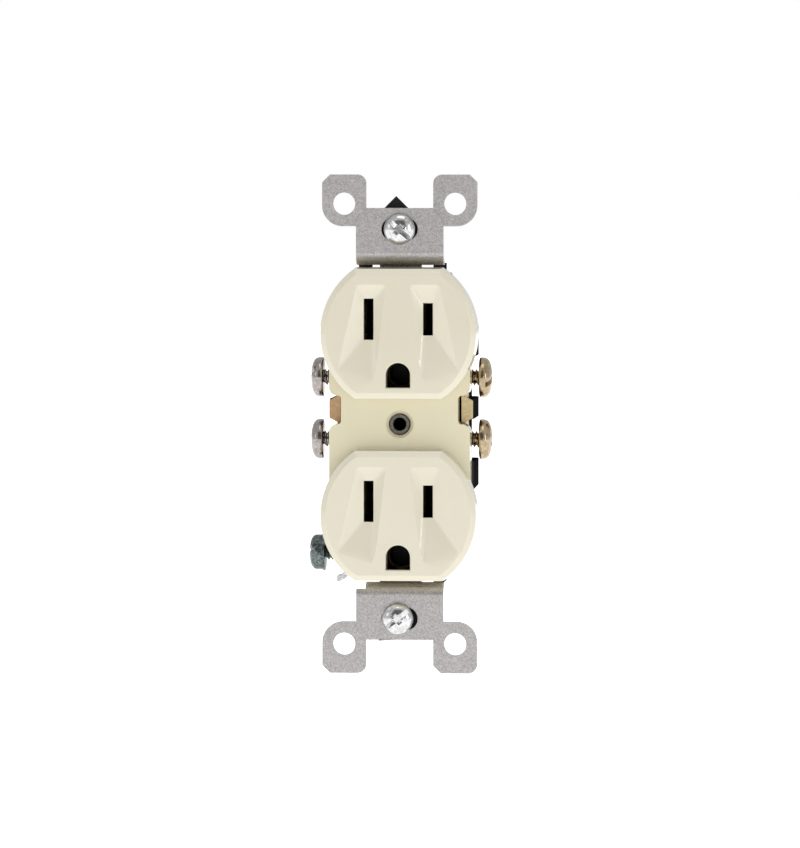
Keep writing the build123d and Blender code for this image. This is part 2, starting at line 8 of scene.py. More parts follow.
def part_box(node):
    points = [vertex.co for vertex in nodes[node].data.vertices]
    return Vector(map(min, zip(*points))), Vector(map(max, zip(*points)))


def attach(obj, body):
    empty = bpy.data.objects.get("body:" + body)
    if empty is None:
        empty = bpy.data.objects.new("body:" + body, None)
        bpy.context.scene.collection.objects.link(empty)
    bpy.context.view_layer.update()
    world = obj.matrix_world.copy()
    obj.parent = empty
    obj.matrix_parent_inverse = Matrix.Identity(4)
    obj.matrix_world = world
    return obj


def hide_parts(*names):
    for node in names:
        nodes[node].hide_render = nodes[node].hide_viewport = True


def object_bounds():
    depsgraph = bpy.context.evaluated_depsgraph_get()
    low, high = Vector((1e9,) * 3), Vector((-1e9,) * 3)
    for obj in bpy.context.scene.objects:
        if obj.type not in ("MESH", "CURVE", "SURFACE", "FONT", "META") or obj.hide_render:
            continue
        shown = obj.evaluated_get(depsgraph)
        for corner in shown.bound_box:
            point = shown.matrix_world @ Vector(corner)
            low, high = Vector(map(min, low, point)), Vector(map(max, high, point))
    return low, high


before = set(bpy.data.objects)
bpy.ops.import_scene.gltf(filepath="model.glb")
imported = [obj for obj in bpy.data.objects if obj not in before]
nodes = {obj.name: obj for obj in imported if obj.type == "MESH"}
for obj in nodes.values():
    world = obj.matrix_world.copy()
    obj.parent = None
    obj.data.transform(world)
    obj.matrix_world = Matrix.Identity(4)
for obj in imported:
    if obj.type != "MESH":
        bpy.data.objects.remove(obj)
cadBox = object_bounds()
mm = 0.001


def linearColour(r, g, b):
    # a colour given in 0 to 255 display values, as the linear values that shaders take
    def one(v):
        v = v / 255.0
        return v / 12.92 if v <= 0.04045 else ((v + 0.055) / 1.055) ** 2.4
    return (one(r), one(g), one(b), 1.0)


def newMaterial(name):
    mat = bpy.data.materials.new(name)
    mat.use_nodes = True
    tree = mat.node_tree
    tree.nodes.clear()
    out = tree.nodes.new("ShaderNodeOutputMaterial")
    shader = tree.nodes.new("ShaderNodeBsdfPrincipled")
    tree.links.new(shader.outputs["BSDF"], out.inputs["Surface"])
    return mat, tree, shader


def addNode(tree, kind, **values):
    node = tree.nodes.new(kind)
    for key, value in values.items():
        if hasattr(node, key):
            setattr(node, key, value)
        else:
            node.inputs[key].default_value = value
    return node


def assign(obj, mat):
    obj.data.materials.clear()
    obj.data.materials.append(mat)


def newGroup(name, inputs, outputs):
    group = bpy.data.node_groups.new(name, "ShaderNodeTree")
    for way, names in (("INPUT", inputs), ("OUTPUT", outputs)):
        for socketName in names:
            group.interface.new_socket(socketName, in_out=way, socket_type="NodeSocketFloat")
    start = group.nodes.new("NodeGroupInput")
    end = group.nodes.new("NodeGroupOutput")
    coord = group.nodes.new("ShaderNodeTexCoord")
    return group, start, end, coord


def makeGrainGroup():
    # two sizes of noise, as one height and one slow mask
    group, start, end, coord = newGroup("surfaceGrain", ("Fine Scale", "Slow Scale"), ("Height", "Mask"))
    fine = addNode(group, "ShaderNodeTexNoise", Detail=3.0)
    slow = addNode(group, "ShaderNodeTexNoise", Detail=4.0)
    for noise, name in ((fine, "Fine Scale"), (slow, "Slow Scale")):
        group.links.new(coord.outputs["Object"], noise.inputs["Vector"])
        group.links.new(start.outputs[name], noise.inputs["Scale"])
    group.links.new(fine.outputs["Fac"], end.inputs["Height"])
    group.links.new(slow.outputs["Fac"], end.inputs["Mask"])
    return group


def makeSpeckleGroup():
    # the crystal speckle of zinc: small cells over soft noise
    group, start, end, coord = newGroup("zincSpeckle", ("Cell Scale",), ("Speckle", "Cloud"))
    cells = addNode(group, "ShaderNodeTexVoronoi", Randomness=1.0)
    fine = addNode(group, "ShaderNodeTexNoise", Detail=4.0, Roughness=0.7)
    cloud = addNode(group, "ShaderNodeTexNoise", Scale=90.0, Detail=3.0)
    finer = addNode(group, "ShaderNodeMath", operation="MULTIPLY")
    finer.inputs[1].default_value = 1.7
    halfFine = addNode(group, "ShaderNodeMath", operation="MULTIPLY")
    halfFine.inputs[1].default_value = 0.5
    total = addNode(group, "ShaderNodeMath", operation="MULTIPLY_ADD")
    total.inputs[1].default_value = 0.5
    cellShade = group.nodes.new("ShaderNodeSeparateColor")
    for texture in (cells, fine, cloud):
        group.links.new(coord.outputs["Object"], texture.inputs["Vector"])
    group.links.new(start.outputs["Cell Scale"], cells.inputs["Scale"])
    group.links.new(start.outputs["Cell Scale"], finer.inputs[0])
    group.links.new(finer.outputs[0], fine.inputs["Scale"])
    group.links.new(cells.outputs["Color"], cellShade.inputs["Color"])
    group.links.new(fine.outputs["Fac"], halfFine.inputs[0])
    group.links.new(cellShade.outputs["Red"], total.inputs[0])
    group.links.new(halfFine.outputs[0], total.inputs[2])
    group.links.new(total.outputs[0], end.inputs["Speckle"])
    group.links.new(cloud.outputs["Fac"], end.inputs["Cloud"])
    return group


grainGroup = makeGrainGroup()
speckleGroup = makeSpeckleGroup()


def addGroup(tree, group, **values):
    node = tree.nodes.new("ShaderNodeGroup")
    node.node_tree = group
    for key, value in values.items():
        node.inputs[key.replace("_", " ")].default_value = value
    return node


def rampTwo(tree, fac, low, high, lowAt=0.3, highAt=0.7):
    # from one colour to another as the value rises from lowAt to highAt
    ramp = tree.nodes.new("ShaderNodeValToRGB")
    ramp.color_ramp.elements[0].position = lowAt
    ramp.color_ramp.elements[1].position = highAt
    ramp.color_ramp.elements[0].color = low
    ramp.color_ramp.elements[1].color = high
    tree.links.new(fac, ramp.inputs["Fac"])
    return ramp.outputs["Color"]


def rangeMap(tree, fac, low, high, inLow=0.3, inHigh=0.7):
    node = tree.nodes.new("ShaderNodeMapRange")
    node.inputs["From Min"].default_value = inLow
    node.inputs["From Max"].default_value = inHigh
    node.inputs["To Min"].default_value = low
    node.inputs["To Max"].default_value = high
    tree.links.new(fac, node.inputs["Value"])
    return node.outputs["Result"]


def addBump(tree, shader, height, distance):
    bump = addNode(tree, "ShaderNodeBump", Distance=distance, Strength=1.0)
    tree.links.new(height, bump.inputs["Height"])
    tree.links.new(bump.outputs["Normal"], shader.inputs["Normal"])


def plasticMaterial(name, low, high, roughLow, roughHigh, fineScale, bumpDistance, specular=0.5):
    mat, tree, shader = newMaterial(name)
    grain = addGroup(tree, grainGroup, Fine_Scale=fineScale, Slow_Scale=70.0)
    tree.links.new(rampTwo(tree, grain.outputs["Mask"], low, high), shader.inputs["Base Color"])
    tree.links.new(rangeMap(tree, grain.outputs["Mask"], roughLow, roughHigh), shader.inputs["Roughness"])
    shader.inputs["Specular IOR Level"].default_value = specular
    addBump(tree, shader, grain.outputs["Height"], bumpDistance)
    return mat, shader


def metalMaterial(name, low, high, roughLow, roughHigh, cellScale, bumpDistance):
    mat, tree, shader = newMaterial(name)
    speckle = addGroup(tree, speckleGroup, Cell_Scale=cellScale)
    tree.links.new(rampTwo(tree, speckle.outputs["Speckle"], low, high, 0.2, 0.8), shader.inputs["Base Color"])
    tree.links.new(rangeMap(tree, speckle.outputs["Cloud"], roughLow, roughHigh), shader.inputs["Roughness"])
    shader.inputs["Metallic"].default_value = 1.0
    addBump(tree, shader, speckle.outputs["Speckle"], bumpDistance)
    return mat


print("materials")
# display colours of the dark and light grain, least and most roughness, grain per metre, bump height in metres
ivory, ivoryShader = plasticMaterial(
    "ivoryPlastic", linearColour(222, 216, 195), linearColour(225, 219, 199), 0.2, 0.27, 900.0, 0.000004)
# painted shade and bounce light: the recessed waist and skirts are a little darker and yellower than the raised faces
waistStart, waistEnd = -2.6 * mm, -1.7 * mm  # depths between which the tint comes in
tree = ivory.node_tree
coord = tree.nodes.new("ShaderNodeTexCoord")
split = tree.nodes.new("ShaderNodeSeparateXYZ")
tree.links.new(coord.outputs["Object"], split.inputs["Vector"])
waistShadeMask = rangeMap(tree, split.outputs["Y"], 0.0, 1.0, waistStart, waistEnd)
# painted shade: the ivory is multiplied towards a darker yellow on the waist
paintedWaistShade = addNode(tree, "ShaderNodeMix", data_type="RGBA", blend_type="MULTIPLY")
plainColour = ivoryShader.inputs["Base Color"].links[0].from_socket
tree.links.new(waistShadeMask, paintedWaistShade.inputs["Factor"])
tree.links.new(plainColour, paintedWaistShade.inputs[6])
paintedWaistShade.inputs[7].default_value = (1.0, 0.985, 0.88, 1.0)
tree.links.new(paintedWaistShade.outputs[2], ivoryShader.inputs["Base Color"])
ivoryShader.inputs["Subsurface Weight"].default_value = 0.12
ivoryShader.inputs["Subsurface Radius"].default_value = (1.0, 0.8, 0.4)
ivoryShader.inputs["Subsurface Scale"].default_value = 0.0006
ivoryShader.inputs["Coat Weight"].default_value = 0.8
ivoryShader.inputs["Coat Roughness"].default_value = 0.06
blackHousing, blackShader = plasticMaterial(
    "blackThermoset", linearColour(24, 24, 25), linearColour(32, 32, 33), 0.38, 0.52, 1400.0, 0.00002, 0.4)
# sides seen at a grazing angle stay black instead of turning pale
tree = blackHousing.node_tree
facing = addNode(tree, "ShaderNodeLayerWeight", Blend=0.5)
calm = rangeMap(tree, facing.outputs["Facing"], 0.4, 0.0, 0.35, 0.75)
tree.links.new(calm, blackShader.inputs["Specular IOR Level"])
blackFibre = plasticMaterial(
    "blackFibre", linearColour(20, 20, 20), linearColour(34, 33, 33), 0.6, 0.8, 3000.0, 0.00003, 0.3)[0]
galvanised = metalMaterial(
    "galvanisedSteel", linearColour(160, 157, 156), linearColour(210, 207, 206), 0.42, 0.48, 5200.0, 0.00001)
# darker zinc for the tapped boss: painted shade where it sits deep in the cover's hole
shadedBossZinc = metalMaterial(
    "shadedBossZinc", linearColour(92, 90, 82), linearColour(128, 125, 115), 0.4, 0.55, 3200.0, 0.000016)
tabZinc = metalMaterial(
    "tabZinc", linearColour(176, 176, 178), linearColour(232, 232, 234), 0.2, 0.3, 3200.0, 0.00001)
nickel = metalMaterial(
    "nickelPlate", linearColour(146, 138, 134), linearColour(178, 171, 168), 0.13, 0.24, 1500.0, 0.000006)
brassPlate = metalMaterial(
    "brassPlate", linearColour(158, 140, 112), linearColour(192, 176, 148), 0.12, 0.22, 1500.0, 0.000006)
groundZinc = metalMaterial(
    "greenZinc", linearColour(56, 66, 65), linearColour(128, 138, 137), 0.2, 0.36, 2300.0, 0.00004)
brightZinc = metalMaterial(
    "brightZinc", linearColour(190, 190, 190), linearColour(228, 228, 229), 0.12, 0.22, 1500.0, 0.000006)
# dark brass for the contact parts deep inside the cover: painted shade
darkBrass = metalMaterial(
    "shadedDarkBrass", linearColour(58, 50, 36), linearColour(84, 72, 50), 0.5, 0.65, 2200.0, 0.000008)
tanCopper = metalMaterial(
    "tanCopper", linearColour(188, 152, 116), linearColour(206, 172, 136), 0.38, 0.5, 2200.0, 0.000008)
paleBrass = metalMaterial(
    "paleBrass", linearColour(206, 186, 142), linearColour(222, 204, 162), 0.34, 0.46, 2200.0, 0.000008)
springSteel = metalMaterial(
    "springSteel", linearColour(150, 150, 152), linearColour(176, 176, 178), 0.3, 0.42, 2200.0, 0.000006)

finishes = {
    "face_cover": ivory,
    "rear_housing": blackHousing,
    "mounting_strap": galvanised,
    "silver_screw_upper": nickel,
    "silver_screw_lower": nickel,
    "brass_screw_upper": brassPlate,
    "brass_screw_lower": brassPlate,
    "ground_screw": groundZinc,
    "mounting_screw_upper": brightZinc,
    "mounting_screw_lower": brightZinc,
    "screw_retainer_upper": blackFibre,
    "screw_retainer_lower": blackFibre,
    "hot_contact_strip": paleBrass,
    "neutral_contact_strip": tanCopper,
    "hot_wire_clip_upper": springSteel,
    "hot_wire_clip_lower": springSteel,
    "neutral_wire_clip_upper": springSteel,
    "neutral_wire_clip_lower": springSteel,
    "ground_contact_upper": darkBrass,
    "ground_contact_lower": darkBrass,
    "ground_contact_rivets": springSteel,
    "assembly_screws": brightZinc,
}
for nodeName, mat in finishes.items():
    assign(nodes[nodeName], mat)


def lathe(profile, steps):
    # profile: (radius, height) pairs from axis to axis, spun about Z
    bm = bmesh.new()
    verts = [bm.verts.new((r, 0.0, h)) for r, h in profile]
    edges = [bm.edges.new((a, b)) for a, b in zip(verts, verts[1:])]
    bmesh.ops.spin(bm, geom=verts + edges, cent=(0, 0, 0), axis=(0, 0, 1), dvec=(0, 0, 0),
                   angle=2 * math.pi, steps=steps, use_merge=True)
    bmesh.ops.remove_doubles(bm, verts=bm.verts, dist=1e-7)
    bmesh.ops.recalc_face_normals(bm, faces=bm.faces)
    return bm


def threadBody(majorR, minorR, pitch, length, steps=28):
    # one pitch of thread, spun up a helix from z = 0 and closed at both ends
    bm = bmesh.new()
    profile = [(minorR, 0.0), (minorR, pitch * 0.12), (majorR, pitch * 0.44), (majorR, pitch * 0.56),
               (minorR, pitch * 0.88)]
    verts = [bm.verts.new((r, 0.0, h)) for r, h in profile]
    verts.append(bm.verts.new((minorR, 0.0, pitch)))
    edges = [bm.edges.new((a, b)) for a, b in zip(verts, verts[1:])]
    turns = max(1, int(round(length / pitch)) - 1)
    bmesh.ops.spin(bm, geom=verts + edges, cent=(0, 0, 0), axis=(0, 0, 1), dvec=(0, 0, pitch / steps),
                   angle=2 * math.pi * turns, steps=steps * turns, use_merge=False)
    bmesh.ops.remove_doubles(bm, verts=bm.verts, dist=pitch * 0.02)
    low = min(v.co.z for v in bm.verts)
    high = max(v.co.z for v in bm.verts)
    rims = [e for e in bm.edges if e.is_boundary]
    for atTip in (False, True):
        ring = [e for e in rims if (sum(v.co.z for v in e.verts) / 2 > (low + high) / 2) == atTip]
        grown = bmesh.ops.extrude_edge_only(bm, edges=ring)
        fresh = [g for g in grown["geom"] if isinstance(g, bmesh.types.BMVert)]
        for v in fresh:
            v.co.x *= 0.72
            v.co.y *= 0.72
            v.co.z = high + pitch * 0.45 if atTip else low - pitch * 0.1
        bmesh.ops.contextual_create(bm, geom=[g for g in grown["geom"] if isinstance(g, bmesh.types.BMEdge)
                                              and g.is_boundary])
    bmesh.ops.recalc_face_normals(bm, faces=bm.faces)
    return bm


def addShank(head, sizes, length, top):
    # a threaded shank hangs down from the head, starting at the height top
    shank = threadBody(sizes["shankRadius"], sizes["rootRadius"], sizes["pitch"], length)
    bmesh.ops.rotate(shank, cent=(0, 0, 0), matrix=Matrix.Rotation(math.pi, 3, "X"), verts=shank.verts)
    bmesh.ops.translate(shank, vec=(0, 0, top), verts=shank.verts)
    joinInto(head, shank)


def toObject(bm, name, place, smoothAngle=35):
    mesh = bpy.data.meshes.new(name)
    bmesh.ops.transform(bm, matrix=place, verts=bm.verts)
    if place.determinant() < 0:
        bmesh.ops.reverse_faces(bm, faces=bm.faces)
    for face in bm.faces:
        face.smooth = True
    for edge in bm.edges:
        if len(edge.link_faces) == 2 and edge.calc_face_angle(0.0) > math.radians(smoothAngle):
            edge.smooth = False
    bm.to_mesh(mesh)
    bm.free()
    obj = bpy.data.objects.new(name, mesh)
    bpy.context.scene.collection.objects.link(obj)
    return obj


def joinInto(target, source):
    # the source bmesh is added to the target one
    mesh = bpy.data.meshes.new("spare")
    source.to_mesh(mesh)
    source.free()
    target.from_mesh(mesh)
    bpy.data.meshes.remove(mesh)


def boxBm(size, centre, turn=0.0, taper=1.0):
    bm = bmesh.new()
    bmesh.ops.create_cube(bm, size=1.0)
    for v in bm.verts:
        if v.co.z < 0:
            v.co.x *= taper
    bmesh.ops.scale(bm, vec=size, verts=bm.verts)
    bmesh.ops.rotate(bm, cent=(0, 0, 0), matrix=Matrix.Rotation(turn, 3, "Z"), verts=bm.verts)
    bmesh.ops.translate(bm, vec=centre, verts=bm.verts)
    return bm


def cutWith(bm, cutters, operation="DIFFERENCE"):
    # exact boolean through a spare object, returned as a fresh bmesh
    base = toObject(bm, "cutBase", Matrix.Identity(4))
    spares = []
    for i, cutter in enumerate(cutters):
        spare = toObject(cutter, "cutTool%d" % i, Matrix.Identity(4))
        step = base.modifiers.new("cut%d" % i, "BOOLEAN")
        step.operation = operation
        step.solver = "EXACT"
        step.object = spare
        spares.append(spare)
    bpy.context.view_layer.update()
    shown = base.evaluated_get(bpy.context.evaluated_depsgraph_get())
    result = bmesh.new()
    result.from_mesh(shown.to_mesh())
    shown.to_mesh_clear()
    for obj in spares + [base]:
        mesh = obj.data
        bpy.data.objects.remove(obj)
        bpy.data.meshes.remove(mesh)
    bmesh.ops.remove_doubles(result, verts=result.verts, dist=2e-7)
    return result


def bent(edge, degrees):
    return edge.calc_face_angle(0.0) > math.radians(degrees)


def middle(edge):
    return (edge.verts[0].co + edge.verts[1].co) / 2


def softenEdges(bm, angle, offset):
    sharp = [e for e in bm.edges if len(e.link_faces) == 2 and bent(e, angle)]
    bmesh.ops.bevel(bm, geom=sharp, offset=offset, offset_type="OFFSET", affect="EDGES", segments=2,
                    profile=0.5, material=-1, clamp_overlap=True)


def closeCopy(node):
    # the CAD piece as a clean bmesh: doubles merged and flat areas joined into single faces
    source = nodes[node]
    bm = bmesh.new()
    bm.from_mesh(source.data)
    bmesh.ops.transform(bm, matrix=source.matrix_world, verts=bm.verts)
    bmesh.ops.remove_doubles(bm, verts=bm.verts, dist=0.002 * mm)
    bmesh.ops.dissolve_degenerate(bm, dist=1e-6, edges=bm.edges)
    bmesh.ops.dissolve_limit(bm, angle_limit=math.radians(0.6), use_dissolve_boundaries=False,
                             verts=bm.verts, edges=bm.edges)
    bmesh.ops.recalc_face_normals(bm, faces=bm.faces)
    return bm


def rollEdges(bm, offset, chosen, segments=2):
    edges = [e for e in bm.edges if len(e.link_faces) == 2 and chosen(e)]
    if edges:
        bmesh.ops.bevel(bm, geom=edges, offset=offset, offset_type="OFFSET", affect="EDGES", segments=segments,
                        profile=0.5, material=-1, clamp_overlap=True, loop_slide=True)


def placeCopy(bm, node, mat, smoothAngle=40, body="outlet"):
    obj = toObject(bm, node + "_detail", Matrix.Identity(4), smoothAngle)
    assign(obj, mat)
    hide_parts(node)
    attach(obj, body)
    shade = obj.modifiers.new("evenShading", "WEIGHTED_NORMAL")
    shade.keep_sharp = True
    shade.weight = 90
    return obj


terminalScrew = {
    "headRadius": 4.3 * mm,
    "headThick": 2.7 * mm,
    "rimHeight": 1.0 * mm,
    "slotWidth": 1.15 * mm,
    "slotDepth": 1.25 * mm,
    "crossWidth": 1.0925 * mm,
    "crossLength": 4.2 * mm,
    "crossDepth": 1.15 * mm,
    "shankRadius": 1.75 * mm,
    "rootRadius": 1.32 * mm,
    "pitch": 0.794 * mm,
    "length": 7.9 * mm,
}


def buildTerminalScrew(node, mat, side, slotTurn):
    s = terminalScrew
    low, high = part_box(node)
    centreY = (low[1] + high[1]) / 2
    centreZ = (low[2] + high[2]) / 2
    # head: flat underside at z = 0, crown upwards
    r, t = s["headRadius"], s["headThick"]
    profile = [(0, 0), (s["shankRadius"], 0), (r - 0.35 * mm, 0), (r - 0.08 * mm, 0.1 * mm), (r, 0.35 * mm),
               (r, s["rimHeight"]), (r - 0.1 * mm, s["rimHeight"] + 0.25 * mm)]
    for i in range(1, 9):
        a = i / 8 * math.pi / 2
        profile.append(((r - 0.1 * mm) * math.cos(a) ** 0.8, s["rimHeight"] + 0.25 * mm
                        + (t - s["rimHeight"] - 0.25 * mm) * math.sin(a)))
    profile[-1] = (0, t)
    head = lathe(profile, 56)
    slot = boxBm((s["slotWidth"], 3 * r, 2 * s["slotDepth"]), (0, 0, t), slotTurn)
    cross = boxBm((s["crossWidth"], s["crossLength"], 2 * s["crossDepth"]), (0, 0, t), slotTurn + math.pi / 2, 0.7)
    head = cutWith(head, [slot, cross])
    softenEdges(head, 50, 0.09 * mm)
    addShank(head, s, s["length"], 0.1 * mm)
    underside = high[0] - t if side > 0 else low[0] + t
    place = Matrix.Translation((underside, centreY, centreZ)) @ Matrix.Rotation(side * math.pi / 2, 4, "Y")
    obj = toObject(head, node + "_detail", place)
    assign(obj, mat)
    return obj


coverLook = {
    "rimRoll": 0.62 * mm,
    "slotRoll": 0.16 * mm,
    "edgeRoll": 0.14 * mm,
    "faceFront": -6.0 * mm,
    "rimDepth": 0.75 * mm,
    "faceCentre": 19.45 * mm,
    "rimRadius": 14.6 * mm,
    "rimFlat": 12.3 * mm,
    "innerRadius": 14.2 * mm,
    "funnelDepth": 1.35 * mm,
    "skirtBack": 4.1 * mm,
}


def buildCoverDetail():
    # crease and outer edge of each face's rim first, then funnels and slots, then the rest
    c = coverLook
    bm = closeCopy("face_cover")
    front = c["faceFront"]
    rimBack = front + c["rimDepth"]

    def onRim(e):
        m = middle(e)
        flat = abs(e.verts[0].co.y - e.verts[1].co.y) < 0.02 * mm
        rise = abs(m.z) - c["faceCentre"]
        edgeOut = math.hypot(m.x, rise) > c["rimRadius"] or abs(rise) > c["rimFlat"]
        onLevel = abs(m.y - front) < 0.05 * mm or abs(m.y - rimBack) < 0.05 * mm
        return flat and edgeOut and onLevel and bent(e, 12)

    def inFunnel(e):
        m = middle(e)
        inside = math.hypot(m.x, abs(m.z) - c["faceCentre"]) < c["innerRadius"]
        return m.y < front + c["funnelDepth"] and bent(e, 9) and inside

    rollEdges(bm, c["rimRoll"], onRim, 3)
    rollEdges(bm, c["slotRoll"], inFunnel)
    rollEdges(bm, c["edgeRoll"], lambda e: bent(e, 40) and middle(e).y < c["skirtBack"])
    return placeCopy(bm, "face_cover", ivory, 30)


print("cover")
buildCoverDetail()


sheetLook = {
    "strapRoll": 0.12 * mm,
    "contactRoll": 0.08 * mm,
    "clipRoll": 0.05 * mm,
    "retainerRoll": 0.075 * mm,
    "housingRoll": 0.22 * mm,
    "scoreX": (6.6 * mm, 10.6 * mm),
    "scoreZ": (42.4 * mm, 46.6 * mm),
    "bossRadius": 2.3 * mm,
    "tabRight": -10.0 * mm,
    "tabFront": 3.0 * mm,
    "leafReach": 8.9 * mm,
}


def offScore(e):
    # the narrow score lines at the ears stay crisp
    m = middle(e)
    xLow, xHigh = sheetLook["scoreX"]
    zLow, zHigh = sheetLook["scoreZ"]
    return not (xLow < abs(m.x) < xHigh and zLow < abs(m.z) < zHigh and m.y < -0.5 * mm)


print("sheet metal and housing")
strap = closeCopy("mounting_strap")
rollEdges(strap, sheetLook["strapRoll"], lambda e: bent(e, 45) and offScore(e))
strapObject = placeCopy(strap, "mounting_strap", galvanised, 38)
strapObject.data.materials.append(shadedBossZinc)
strapObject.data.materials.append(tabZinc)
for face in strapObject.data.polygons:
    spot = face.center
    # the boss faces take the darker zinc as painted shade
    if math.hypot(spot.x, spot.z) < sheetLook["bossRadius"]:
        face.material_index = 1  # the tapped boss
    elif spot.x < sheetLook["tabRight"] and spot.y > sheetLook["tabFront"]:
        face.material_index = 2  # the ground terminal's tab
housing = closeCopy("rear_housing")
rollEdges(housing, sheetLook["housingRoll"], lambda e: bent(e, 40))
placeCopy(housing, "rear_housing", blackHousing, 38)
for nodeName, slotName in (
    ("hot_contact_strip", "contact_brass"),
    ("neutral_contact_strip", "contact_copper"),
    ("ground_contact_upper", "contact_brass"),
    ("ground_contact_lower", "contact_brass"),
):
    piece = closeCopy(nodeName)
    rollEdges(piece, sheetLook["contactRoll"], lambda e: bent(e, 50))
    contact = placeCopy(piece, nodeName, finishes[nodeName], 38)
    # the leaves deep in the pockets get the dark brass as painted shade, so the slots read nearly black
    contact.data.materials.append(darkBrass)
    for face in contact.data.polygons:
        if abs(face.center.x) < sheetLook["leafReach"]:
            face.material_index = 1
for nodeName in ("hot_wire_clip_upper", "hot_wire_clip_lower", "neutral_wire_clip_upper", "neutral_wire_clip_lower"):
    piece = closeCopy(nodeName)
    rollEdges(piece, sheetLook["clipRoll"], lambda e: bent(e, 50))
    placeCopy(piece, nodeName, springSteel, 38)
for nodeName in ("screw_retainer_upper", "screw_retainer_lower"):
    piece = closeCopy(nodeName)
    rollEdges(piece, sheetLook["retainerRoll"], lambda e: bent(e, 50))
    placeCopy(piece, nodeName, blackFibre, 38, nodeName.replace("screw_", "") + "_body")
for nodeName, slotName in (("assembly_screws", "zinc_screw"), ("ground_contact_rivets", "rivet")):
    piece = closeCopy(nodeName)
    rollEdges(piece, sheetLook["contactRoll"], lambda e: bent(e, 50))
    placeCopy(piece, nodeName, finishes[nodeName], 38)


print("terminal screws")
for node, mat, side, turn in (
    ("silver_screw_upper", nickel, -1, 0.5),
    ("silver_screw_lower", nickel, -1, 1.3),
    ("brass_screw_upper", brassPlate, 1, 0.35),
    ("brass_screw_lower", brassPlate, 1, 2.2),
):
    screw = buildTerminalScrew(node, mat, side, turn)
    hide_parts(node)
    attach(screw, node + "_body")


boxScrew = {
    "headRadius": 3.37 * mm,
    "headThick": 2.25 * mm,
    "rimHeight": 0.45 * mm,
    "slotWidth": 1.0 * mm,
    "slotLength": 5.7 * mm,
    "slotDepth": 1.15 * mm,
    "crossWidth": 1.05 * mm,
    "crossLength": 3.5 * mm,
    "crossDepth": 1.7 * mm,
    "neckRadius": 1.6 * mm,
    "neckEnd": 4.45 * mm,
    "shankRadius": 1.75 * mm,
    "rootRadius": 1.32 * mm,
    "pitch": 0.794 * mm,
    "length": 22.0 * mm,
}


def buildBoxScrew(node, turn):
    s = boxScrew
    low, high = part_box(node)
    centreX = (low[0] + high[0]) / 2
    centreZ = (low[2] + high[2]) / 2
    r, t = s["headRadius"], s["headThick"]
    profile = [(0, 0), (s["neckRadius"], 0), (r - 0.25 * mm, 0), (r - 0.06 * mm, 0.07 * mm), (r, 0.2 * mm),
               (r, s["rimHeight"])]
    for i in range(1, 10):
        a = i / 9 * math.pi / 2
        profile.append((r * math.cos(a) ** 0.9, s["rimHeight"] + (t - s["rimHeight"]) * math.sin(a)))
    profile[-1] = (0, t)
    head = lathe(profile, 64)
    blade = boxBm((s["slotLength"], s["slotWidth"], 2 * s["slotDepth"]), (0, 0, t), turn)
    crossA = boxBm((s["crossLength"], s["crossWidth"], 2 * s["crossDepth"]), (0, 0, t), turn, 0.5)
    crossB = boxBm((s["crossLength"], s["crossWidth"], 2 * s["crossDepth"]), (0, 0, t), turn + math.pi / 2, 0.5)
    head = cutWith(head, [blade, crossA, crossB])
    softenEdges(head, 45, 0.07 * mm)
    neck = lathe([(0, 0.02 * mm), (s["neckRadius"], 0.02 * mm), (s["neckRadius"], -s["neckEnd"]), (0, -s["neckEnd"])],
                 40)
    joinInto(head, neck)
    addShank(head, s, s["length"] - s["neckEnd"] + 0.3 * mm, -s["neckEnd"] + 0.2 * mm)
    seat = low[1] + t
    place = Matrix.Translation((centreX, seat, centreZ)) @ Matrix.Rotation(math.pi / 2, 4, "X")
    obj = toObject(head, node + "_detail", place)
    assign(obj, brightZinc)
    return obj


print("box screws")
for node, turn in (("mounting_screw_upper", -math.radians(42)), ("mounting_screw_lower", math.radians(38))):
    screw = buildBoxScrew(node, turn)
    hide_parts(node)
    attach(screw, node + "_body")


groundScrew = {
    "washerRadius": 4.0 * mm,
    "washerThick": 0.9 * mm,
    "hexRadius": 4.25 * mm,
    "crownRadius": 3.85 * mm,
    "crownRise": 1.7 * mm,
    "headThick": 3.4 * mm,
    "slotWidth": 1.15 * mm,
    "slotDepth": 1.2 * mm,
    "shankRadius": 1.75 * mm,
    "rootRadius": 1.32 * mm,
    "pitch": 0.794 * mm,
    "length": 7.0 * mm,
}


